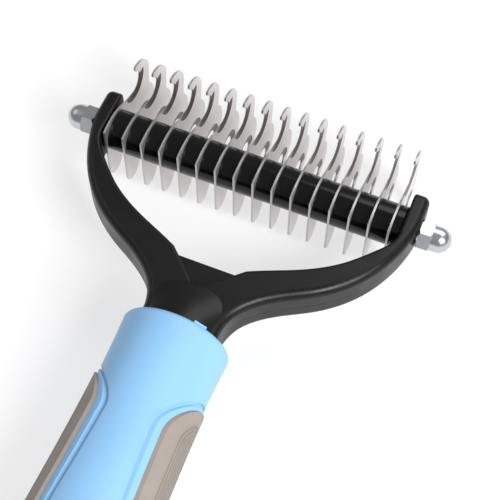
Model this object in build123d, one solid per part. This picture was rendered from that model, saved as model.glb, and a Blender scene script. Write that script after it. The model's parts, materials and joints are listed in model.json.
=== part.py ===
from build123d import *
from math import cos, sin, radians
import os

# Dematting comb: a row of hooked blades on a threaded rod, held in a yoke with a padded handle.
# X runs along the blade row, Y from the handle to the blades, Z up. Lengths are in millimetres.

# ---- driving dimensions ----
rod_y = 155.0              # rod axis, measured from the hang hole
rod_radius = 2.0
bore_radius = 2.08         # running hole in blades, spacers and yoke ears
blade_count = 16
blade_pitch = 5.0
blade_thickness = 0.5
stack_middle = -0.8        # the blade stack sits a little left of the handle's middle
ear_inner = 39.25
ear_outer = 43.4
face_gap = 0.05            # running gap at each ear face
yoke_depth = 11.0
web_depth = 2.4
blade_seat_radius = 8.4    # round seat that clears the end blades' corners as the head turns
grip_radius = 13.2
grip_top = -47.7           # mouth of the grip, measured from the rod
grip_end = -162.0
hang_y = -155.0            # hang hole, measured from the rod

# ---- blade ----
bay_radius = 3.2
upper_bay = (12.0, 4.6)
lower_bay = (13.6, -13.2)
bevel_width = 2.1
bevel_depth = 0.35
bevel_past_bay = 0.6       # the bevel runs this far past the bay's middle, away from the shank

# ---- spacers, rod and nuts ----
spacer_radius = 5.3
rod_half_length = 48.6
nut_across_flats = 7.0
nut_hex_length = 3.2
nut_dome_radius = 3.25
nut_length = 8.0
nut_bore_radius = 2.05
nut_bore_depth = 5.45

# ---- grip ----
core_radius = 8.95
core_top = -50.0
core_end = -142.0
tang_radius = 7.0
tang_end = -82.0
pad_half_width = 10.0
pad_near = -73.6
pad_far = -116.0
pad_proud = 0.65
pad_depth = 1.5
pad_gap = 0.05
groove_inner = 11.0        # half-widths of the groove round each pad
groove_outer = 11.9
groove_depth = 0.5
mouth_radius = 10.6
cavity_radius = 9.0
socket_radius = 7.05
hang_hole_radius = 3.0
scallop_radius = 18.0
scallop_height = 25.0

MIDDLE_MIN = (Align.CENTER, Align.CENTER, Align.MIN)


def along_x(start, end, radius):
    """Round bar along X between two stations, centred on the rod axis."""
    return Pos(start, 0, 0) * Rot(0, 90, 0) * Cylinder(radius, end - start, align=MIDDLE_MIN)


def along_grip(start, end, radius):
    """Round bar along the handle's axis, from a station down to a lower one."""
    return Pos(0, start, 0) * Rot(90, 0, 0) * Cylinder(radius, start - end, align=MIDDLE_MIN)


# ---- blade ----
def bay_point(bay, side, dy, dz):
    return (bay[0] + dy, bay[1] + side * dz)


def on_bay(bay, side, angle):
    return bay_point(bay, side, bay_radius * cos(radians(angle)), bay_radius * sin(radians(angle)))


def hook(bay, side, shank):
    """Edges of one hook, from the shank round the bay and over the beak to the blade's front."""
    bay_start = on_bay(bay, side, -110)
    bay_end = on_bay(bay, side, 62)
    bead = bay_point(bay, side, 1.0, 3.8)
    tip = bay_point(bay, side, 1.3, 4.7)
    front = bay_point(bay, side, 8.4, -2.4)
    return [
        Line(shank, bay_start),
        ThreePointArc(bay_start, on_bay(bay, side, -30), bay_end),
        Line(bay_end, bead),
        Line(bead, tip),
        ThreePointArc(tip, bay_point(bay, side, 5.7, 3.0), front),
    ]


def bevel_cutter(bay, side):
    """Cone that sharpens the shank side of a hook's bay on the +X face."""
    overshoot = 1.2
    wide_end = bay_radius + overshoot * bevel_width
    cone = Cone(bay_radius, wide_end, overshoot * bevel_depth, align=MIDDLE_MIN)
    cone = Pos(blade_thickness / 2 - bevel_depth, bay[0], bay[1]) * Rot(0, 90, 0) * cone
    height = 4 * wide_end
    middle = bay[1] + side * (bevel_past_bay - height / 2)
    return cone & Pos(0, bay[0], middle) * Box(height, height, height)


def make_blade():
    """Hooked blade in the plane x = 0 with its hole on the rod axis."""
    heel = (-5.7, 5.6)
    shoulder = (6.5, 3.3)
    waist = (19.5, -4.0)
    lower_front = bay_point(lower_bay, -1, 8.4, -2.4)
    belly = (1.2, -12.9)
    tongue = (-5.8, -11.9)
    outline = [ThreePointArc(heel, (1.2, 5.7), shoulder)]
    outline += hook(upper_bay, 1, shoulder)
    outline += [Line(bay_point(upper_bay, 1, 8.4, -2.4), waist)]
    outline += [ThreePointArc(waist, (21.2, -6.8), lower_front)]
    outline += hook(lower_bay, -1, belly)
    outline += [ThreePointArc(belly, (-2.9, -14.9), tongue)]
    outline += [Line(tongue, heel)]
    plate = extrude(Plane.YZ * make_face(outline), blade_thickness / 2, both=True)
    plate -= along_x(-1, 1, bore_radius)
    plate -= bevel_cutter(upper_bay, 1)
    plate -= bevel_cutter(lower_bay, -1)
    return plate


# ---- spacers, rod and nuts ----
def make_spacer(start, end):
    """Black tube on the rod between two stations."""
    tube = along_x(start, end, spacer_radius)
    tube = chamfer(tube.edges().filter_by(GeomType.CIRCLE), min(0.25, (end - start) / 4))
    return tube - along_x(start - 1, end + 1, bore_radius)


def make_right_nut():
    """Acorn nut against the right ear, with a blind hole for the rod end."""
    start = ear_outer + face_gap
    corner_radius = nut_across_flats / 2 / cos(radians(30))
    flats = RegularPolygon(nut_across_flats / 2, 6, major_radius=False)
    hexagon = extrude(Plane.YZ.offset(start) * flats, nut_hex_length)
    turned = along_x(start, start + nut_hex_length, corner_radius)
    hexagon &= chamfer(turned.edges().filter_by(GeomType.CIRCLE), 0.4)
    dome_middle = start + nut_length - nut_dome_radius
    dome = along_x(start + nut_hex_length, dome_middle, nut_dome_radius)
    dome += Pos(dome_middle, 0, 0) * Sphere(nut_dome_radius)
    return hexagon + dome - along_x(start - 1, start + nut_bore_depth, nut_bore_radius)


# ---- yoke ----
def arm_face():
    """Outline of the yoke's right half: ear, arm and half of the neck."""
    ear_top = 7.9
    corner = 1.8
    outer = Spline((9.8, grip_top), (11.6, -39.0), (18.5, -32.7), (26.5, -28.0), (35.2, -20.3),
                   (41.2, -9.5), (ear_outer, 0))
    inner = Spline((ear_inner, -4.0), (35.8, -11.2), (29.3, -17.7), (19.8, -23.5), (9.2, -28.3),
                   tangents=((0, -1), (-2, -1)))
    return make_face([
        outer,
        Line((ear_outer, 0), (ear_outer, ear_top - corner)),
        ThreePointArc((ear_outer, ear_top - corner),
                      (ear_outer - 0.29 * corner, ear_top - 0.29 * corner),
                      (ear_outer - corner, ear_top)),
        Line((ear_outer - corner, ear_top), (ear_inner, ear_top)),
        Line((ear_inner, ear_top), (ear_inner, -4.0)),
        inner,
        Line((9.2, -28.3), (0, -37.0)),
        Line((0, -37.0), (0, grip_top)),
        Line((0, grip_top), (9.8, grip_top)),
    ])


def make_arm():
    """Right half of the yoke with rounded rims."""
    arm = extrude(arm_face(), yoke_depth / 2, both=True)
    arm = fillet(arm.edges().filter_by(on_outer_rim), 2.0)
    return fillet(arm.edges().filter_by(on_inner_rim), 0.7)


def on_outer_rim(edge):
    middle = edge.center()
    on_side = middle.X > ear_inner + 0.3 or (middle.X > 15 and middle.Y < -21)
    return abs(middle.Z) > yoke_depth / 2 - 0.05 and on_side


def on_inner_rim(edge):
    middle = edge.center()
    beside_blades = 15 < middle.X < ear_inner + 0.3 and middle.Y > -21
    beside_web = 1 < middle.X < 9 and -37 < middle.Y < -28
    return abs(middle.Z) > yoke_depth / 2 - 0.05 and (beside_blades or beside_web)


def make_yoke():
    """Y-shaped frame: two arms with ears, a thin web between them, a round neck and a tang."""
    arm = make_arm()
    frame = arm + mirror(arm, Plane.YZ)
    web = make_face(Polyline((-10.5, -28.4), (10.5, -28.4), (0, -39.0), close=True))
    frame += extrude(web, web_depth / 2, both=True)
    mouth = Plane.XZ.offset(-grip_top) * Ellipse(9.9, 8.8)
    swell = [Plane.XZ.offset(33.0) * Ellipse(19.0, 4.6), Plane.XZ.offset(38.0) * Ellipse(14.9, 6.2)]
    neck = loft(swell + [Plane.XZ.offset(43.0) * Ellipse(11.5, 7.8), mouth])
    half_outline = extrude(arm_face(), 1.1 * mouth_radius, both=True)
    frame += neck & (half_outline + mirror(half_outline, Plane.YZ))
    frame += extrude(mouth, 2.0)
    tang_start = grip_top - 2.0
    frame += along_grip(tang_start, tang_end, tang_radius)
    frame -= along_x(-1.1 * ear_outer, 1.1 * ear_outer, bore_radius)
    return frame - along_x(-ear_inner, ear_inner, blade_seat_radius)


# ---- grip ----
def grip_body(grow):
    """Outer form of the grip, enlarged or reduced by an even amount."""
    rim = grip_top - 1.5
    side = Spline((grip_radius + grow, rim), (12.8 + grow, -62.0), (13.4 + grow, -90.0),
                  (13.9 + grow, -112.0), (12.6 + grow, -138.0), (12.9 + grow, -152.0))
    profile = make_face([
        Line((0, grip_top), (grip_radius - 1.5 + grow, grip_top)),
        ThreePointArc((grip_radius - 1.5 + grow, grip_top),
                      (grip_radius - 0.44 + grow, grip_top - 0.44), (grip_radius + grow, rim)),
        side,
        ThreePointArc((12.9 + grow, -152.0), (11.2 + grow, -159.0), (6.0, grip_end)),
        Line((6.0, grip_end), (0, grip_end)),
        Line((0, grip_end), (0, grip_top)),
    ])
    return revolve(profile, Axis.Y)


def side_slot(half_width):
    """Right-hand half of a slot-shaped bar along X, over the pad's place."""
    middle = (pad_near + pad_far) / 2
    slot = SlotCenterToCenter(pad_near - pad_far, 2 * half_width)
    return extrude(Plane.YZ.offset(2.0) * Pos(middle, 0) * slot, 20)


def make_right_pad():
    return (side_slot(pad_half_width) & grip_body(pad_proud)) - grip_body(-pad_depth)


def make_sleeve():
    """Soft outer grip with its pad pockets, rim lug, scallops and hang hole."""
    outer = grip_body(0)
    pocket = side_slot(pad_half_width + pad_gap) - grip_body(-pad_depth)
    groove = side_slot(groove_outer) - side_slot(groove_inner) - grip_body(-groove_depth)
    sleeve = outer - pocket - mirror(pocket, Plane.YZ) - groove - mirror(groove, Plane.YZ)
    sleeve += Rot(0, 30, 0) * Pos(0, grip_top - 0.2, 11.5) * Box(3.2, 1.4, 1.2)
    sleeve -= along_grip(0, core_top, mouth_radius)
    sleeve -= along_grip(core_top, core_end, cavity_radius)
    for side in (1, -1):
        scallop = Rot(0, 90, 0) * Cylinder(scallop_radius, 3 * grip_radius)
        sleeve -= Pos(0, hang_y, side * scallop_height) * scallop
    return sleeve - Pos(0, hang_y, 0) * Cylinder(hang_hole_radius, 3 * grip_radius)


def make_core():
    """Stiff core inside the grip, with a socket for the yoke's tang."""
    return along_grip(core_top, core_end, core_radius) - along_grip(core_top, tang_end - 1.0, socket_radius)


# ---- all pieces ----
pieces = {}
pieces["yoke"] = make_yoke()
pieces["handle_core"] = make_core()
pieces["grip_sleeve"] = make_sleeve()
pieces["right_grip_pad"] = make_right_pad()
pieces["left_grip_pad"] = mirror(pieces["right_grip_pad"], Plane.YZ)
rod = along_x(-rod_half_length, rod_half_length, rod_radius)
pieces["threaded_rod"] = chamfer(rod.edges().filter_by(GeomType.CIRCLE), 0.4)
pieces["right_cap_nut"] = make_right_nut()
pieces["left_cap_nut"] = mirror(pieces["right_cap_nut"], Plane.YZ)

blade = make_blade()
first_x = stack_middle - (blade_count - 1) / 2 * blade_pitch
for i in range(blade_count):
    pieces[f"blade_{i + 1:02d}"] = Pos(first_x + i * blade_pitch, 0, 0) * blade
for i in range(blade_count - 1):
    start = first_x + i * blade_pitch + blade_thickness / 2
    pieces[f"spacer_{i + 1:02d}"] = make_spacer(start, start + blade_pitch - blade_thickness)
stack_left = first_x - blade_thickness / 2
stack_right = first_x + (blade_count - 1) * blade_pitch + blade_thickness / 2
pieces["left_end_spacer"] = make_spacer(-ear_inner + face_gap, stack_left)
pieces["right_end_spacer"] = make_spacer(stack_right, ear_inner - face_gap)

os.makedirs("parts", exist_ok=True)
for name, piece in pieces.items():
    export_step(Pos(0, rod_y, 0) * piece, f"parts/{name}.step")
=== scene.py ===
import bpy
import json
from math import radians, tau
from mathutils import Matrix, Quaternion, Vector


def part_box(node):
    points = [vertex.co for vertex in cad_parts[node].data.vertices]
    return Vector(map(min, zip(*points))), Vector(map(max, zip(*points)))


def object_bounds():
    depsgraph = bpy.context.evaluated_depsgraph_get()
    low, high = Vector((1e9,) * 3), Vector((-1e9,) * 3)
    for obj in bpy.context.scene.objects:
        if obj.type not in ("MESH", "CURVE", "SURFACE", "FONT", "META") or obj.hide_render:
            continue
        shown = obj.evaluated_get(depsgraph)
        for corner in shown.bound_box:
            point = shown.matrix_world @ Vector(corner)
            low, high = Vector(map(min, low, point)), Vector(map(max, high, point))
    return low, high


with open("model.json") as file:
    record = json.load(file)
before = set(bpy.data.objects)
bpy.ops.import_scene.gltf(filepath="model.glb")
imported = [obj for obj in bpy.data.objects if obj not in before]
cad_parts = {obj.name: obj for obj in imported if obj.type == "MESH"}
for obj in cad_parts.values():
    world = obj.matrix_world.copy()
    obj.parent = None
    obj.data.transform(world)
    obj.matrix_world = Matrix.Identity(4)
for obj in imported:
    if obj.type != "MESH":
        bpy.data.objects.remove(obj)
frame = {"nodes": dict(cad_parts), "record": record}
cad_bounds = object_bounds()
nodes = frame["nodes"]
MM = 0.001

# ---- sizes taken from the CAD frame ----
ROD_Y = sum(corner.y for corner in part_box("threaded_rod")) / 2
pad_low, pad_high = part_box("right_grip_pad")
PAD_HALF_WIDTH = pad_high.z
PAD_NEAR = pad_high.y - PAD_HALF_WIDTH      # centres of the pad's two round ends
PAD_FAR = pad_low.y + PAD_HALF_WIDTH


# ---- material helpers ----
class Finish:
    """A Principled material with short calls for the procedural nodes that feed it."""

    def __init__(self, name, roughness, metallic=0.0, specular=0.5):
        self.material = bpy.data.materials.new(name)
        self.material.use_nodes = True
        self.tree = self.material.node_tree
        self.shader = self.tree.nodes["Principled BSDF"]
        self.shader.inputs["Roughness"].default_value = roughness
        self.shader.inputs["Metallic"].default_value = metallic
        self.shader.inputs["Specular IOR Level"].default_value = specular
        place = self.tree.nodes.new("ShaderNodeTexCoord")
        self.place = place.outputs["Object"]
        split = self.tree.nodes.new("ShaderNodeSeparateXYZ")
        self.tree.links.new(self.place, split.inputs[0])
        self.x, self.y, self.z = split.outputs

    def math(self, operation, a, b=None, clamp=False):
        node = self.tree.nodes.new("ShaderNodeMath")
        node.operation = operation
        node.use_clamp = clamp
        for socket, value in zip(node.inputs, (a, b)):
            if isinstance(value, (int, float)):
                socket.default_value = value
            elif value is not None:
                self.tree.links.new(value, socket)
        return node.outputs[0]

    def noise(self, size, detail=3.0, stretch=(1, 1, 1)):
        """Noise with features about `size` metres across, stretched along the axes."""
        mapping = self.tree.nodes.new("ShaderNodeMapping")
        mapping.inputs["Scale"].default_value = [1 / s for s in stretch]
        texture = self.tree.nodes.new("ShaderNodeTexNoise")
        texture.inputs["Scale"].default_value = 1 / size
        texture.inputs["Detail"].default_value = detail
        self.tree.links.new(self.place, mapping.inputs["Vector"])
        self.tree.links.new(mapping.outputs[0], texture.inputs["Vector"])
        return texture.outputs["Fac"]

    def mix(self, factor, first, second):
        """Colour between two colours, either of which may be a node's output."""
        node = self.tree.nodes.new("ShaderNodeMix")
        node.data_type = "RGBA"
        self.tree.links.new(factor, node.inputs["Factor"])
        for name, value in (("A", first), ("B", second)):
            socket = next(s for s in node.inputs if s.name == name and s.type == "RGBA")
            if isinstance(value, tuple):
                socket.default_value = (*value, 1)
            else:
                self.tree.links.new(value, socket)
        return next(s for s in node.outputs if s.type == "RGBA")

    def ramp(self, value, low, high):
        """0 below low, 1 above high."""
        node = self.tree.nodes.new("ShaderNodeMapRange")
        node.inputs["From Min"].default_value = low
        node.inputs["From Max"].default_value = high
        self.tree.links.new(value, node.inputs["Value"])
        return node.outputs["Result"]

    def colour(self, value):
        self.tree.links.new(value, self.shader.inputs["Base Color"])

    def rough(self, value):
        self.tree.links.new(value, self.shader.inputs["Roughness"])

    def bump(self, height, depth, strength=1.0):
        """Surface relief, `depth` metres high; a later call adds to the earlier one."""
        node = self.tree.nodes.new("ShaderNodeBump")
        node.inputs["Distance"].default_value = depth
        node.inputs["Strength"].default_value = strength
        self.tree.links.new(height, node.inputs["Height"])
        if self.shader.inputs["Normal"].is_linked:
            self.tree.links.new(self.shader.inputs["Normal"].links[0].from_socket, node.inputs["Normal"])
        self.tree.links.new(node.outputs[0], self.shader.inputs["Normal"])


# ---- finishes ----
def yoke_black():
    """Satin moulded plastic with a parting line along the arms' outer sides."""
    f = Finish("yoke_black", 0.38, specular=0.32)
    f.colour(f.mix(f.noise(9 * MM), (0.002, 0.0018, 0.0018), (0.006, 0.0055, 0.005)))
    line = f.ramp(f.math("ABSOLUTE", f.z), 0.10 * MM, 0.22 * MM)
    f.bump(line, 0.10 * MM, 0.8)
    f.bump(f.noise(0.35 * MM), 0.02 * MM, 0.5)
    f.rough(f.ramp(f.noise(5 * MM), -1.0, 3.0))
    return f.material


def spacer_black():
    """Glossy plastic with faint turning lines round the tube."""
    f = Finish("spacer_black", 0.16, specular=0.3)
    f.colour(f.mix(f.noise(3 * MM), (0.002, 0.002, 0.002), (0.005, 0.005, 0.005)))
    f.bump(f.noise(0.3 * MM, stretch=(1, 40, 40)), 0.02 * MM, 0.4)
    return f.material


def blade_steel():
    """Satin plate, duller cut edges and ground bevels painted near black as shade, told apart by the
    face's slope.
    """
    f = Finish("blade_steel", 0.36, metallic=0.85)
    geometry = f.tree.nodes.new("ShaderNodeNewGeometry")
    split = f.tree.nodes.new("ShaderNodeSeparateXYZ")
    f.tree.links.new(geometry.outputs["True Normal"], split.inputs[0])
    slope = f.math("ABSOLUTE", split.outputs[0])
    grain = f.noise(0.5 * MM, stretch=(1, 1, 12))
    plate = f.mix(grain, (0.68, 0.65, 0.64), (0.80, 0.77, 0.76))
    marks = f.noise(0.8 * MM, stretch=(1, 6, 1))
    # painted shade: the ground bevels get a near-black colour that stands in for the shade they show
    bevel_painted_shade = f.mix(marks, (0.035, 0.026, 0.024), (0.14, 0.11, 0.10))
    edge = f.mix(grain, (0.45, 0.44, 0.44), (0.60, 0.59, 0.59))
    sides = f.mix(f.ramp(slope, 0.5, 0.9), edge, bevel_painted_shade)
    f.colour(f.mix(f.ramp(slope, 0.990, 0.997), sides, plate))
    f.bump(grain, 0.01 * MM, 0.3)
    return f.material


def zinc_plate():
    """Bright plating with very fine mottling."""
    f = Finish("zinc_plate", 0.28, metallic=1.0)
    f.colour(f.mix(f.noise(1.5 * MM), (0.50, 0.52, 0.54), (0.62, 0.64, 0.66)))
    f.bump(f.noise(0.4 * MM), 0.01 * MM, 0.3)
    return f.material


def grip_blue():
    """Pale blue soft plastic with a fine moulded grain."""
    f = Finish("grip_blue", 0.42, specular=0.4)
    f.colour(f.mix(f.noise(14 * MM), (0.25, 0.50, 0.80), (0.28, 0.54, 0.84)))
    f.bump(f.noise(0.25 * MM), 0.015 * MM, 0.5)
    return f.material


def pad_grey():
    """Warm grey rubber; oval ridges follow the pad's outline inside a plain border, with painted shade
    darkening the colour along the ridges.
    """
    f = Finish("pad_grey", 0.62, specular=0.3)
    pitch = 0.9 * MM
    past_ends = f.math("SUBTRACT", f.y, f.math("MINIMUM", f.math("MAXIMUM", f.y, PAD_FAR), PAD_NEAR))
    squares = f.math("ADD", f.math("MULTIPLY", past_ends, past_ends), f.math("MULTIPLY", f.z, f.z))
    distance = f.math("SQRT", squares)      # from the line between the round ends' centres
    border = f.ramp(distance, 0.70 * PAD_HALF_WIDTH, 0.73 * PAD_HALF_WIDTH)
    inner = f.math("SUBTRACT", 1.0, border)
    wave = f.ramp(f.math("SINE", f.math("MULTIPLY", distance, tau / pitch)), -1, 1)
    base = f.mix(f.noise(4 * MM), (0.29, 0.25, 0.225), (0.34, 0.30, 0.27))
    # painted shade: the ridge pattern darkens the colour towards (0.20, 0.17, 0.15), on top of the real
    # bump
    ridge_painted_shade = f.math("MULTIPLY", wave, f.math("MULTIPLY", inner, 0.6))
    f.colour(f.mix(ridge_painted_shade, base, (0.20, 0.17, 0.15)))
    f.bump(f.math("MULTIPLY", wave, inner), 0.25 * MM, 0.9)
    f.bump(f.noise(0.3 * MM), 0.02 * MM, 0.6)
    return f.material


def core_plastic():
    """Plain dark plastic, hidden inside the grip."""
    f = Finish("core_plastic", 0.5)
    f.colour(f.mix(f.noise(5 * MM), (0.07, 0.07, 0.07), (0.11, 0.11, 0.11)))
    return f.material


def floor_white():
    """Pale floor that gives off a little light, so that shadows on it stay faint."""
    f = Finish("floor_white", 0.9, specular=0.1)
    f.colour(f.mix(f.noise(0.2), (0.34, 0.34, 0.35), (0.36, 0.36, 0.37)))
    f.shader.inputs["Emission Color"].default_value = (1, 1, 1, 1)
    f.shader.inputs["Emission Strength"].default_value = 0.66
    return f.material


finishes = {make.__name__: make() for make in (
    yoke_black, spacer_black, blade_steel, zinc_plate, grip_blue, pad_grey, core_plastic)}
for part in frame["record"]["subparts"]:
    obj = nodes[part["node"]]
    obj.data.materials.clear()
    obj.data.materials.append(finishes[part["material_slot"]])

# ---- floor ----
low, high = cad_bounds
bpy.ops.mesh.primitive_plane_add(size=4.0, location=(0, ROD_Y, low.z - 0.5 * MM))
floor = bpy.context.object
floor.name = "floor"
floor.data.materials.append(floor_white())


# ---- light and camera ----
def area_light(name, place, target, size, power):
    data = bpy.data.lights.new(name, "AREA")
    data.size = size
    data.energy = power
    light = bpy.data.objects.new(name, data)
    bpy.context.scene.collection.objects.link(light)
    light.location = place
    light.rotation_mode = "QUATERNION"
    light.rotation_quaternion = (Vector(target) - Vector(place)).to_track_quat("-Z", "Y")


aim = (0.0, 0.11, 0.0)
area_light("key", (0.42, -0.10, 0.45), aim, 0.25, 4.2)
area_light("fill", (-0.45, 0.15, 0.45), aim, 0.4, 0.35)
area_light("top", (0.15, 0.50, 0.45), aim, 0.4, 1.2)

world = bpy.data.worlds.new("studio")
world.use_nodes = True
world.node_tree.nodes["Background"].inputs["Color"].default_value = (1, 1, 1, 1)
world.node_tree.nodes["Background"].inputs["Strength"].default_value = 0.30
bpy.context.scene.world = world
bpy.context.scene.view_settings.view_transform = "Standard"

camera_data = bpy.data.cameras.new("camera")
camera_data.lens = 86.4
camera_data.sensor_width = 36.0
camera = bpy.data.objects.new("camera", camera_data)
bpy.context.scene.collection.objects.link(camera)
camera.location = (0.0584, 0.0026, 0.2529)
sight = Vector((0.0069, 0.1350, 0.0)) - camera.location
camera.rotation_mode = "QUATERNION"
camera.rotation_quaternion = sight.to_track_quat("-Z", "Y") @ Quaternion((0, 0, 1), radians(0.9))
bpy.context.scene.camera = camera
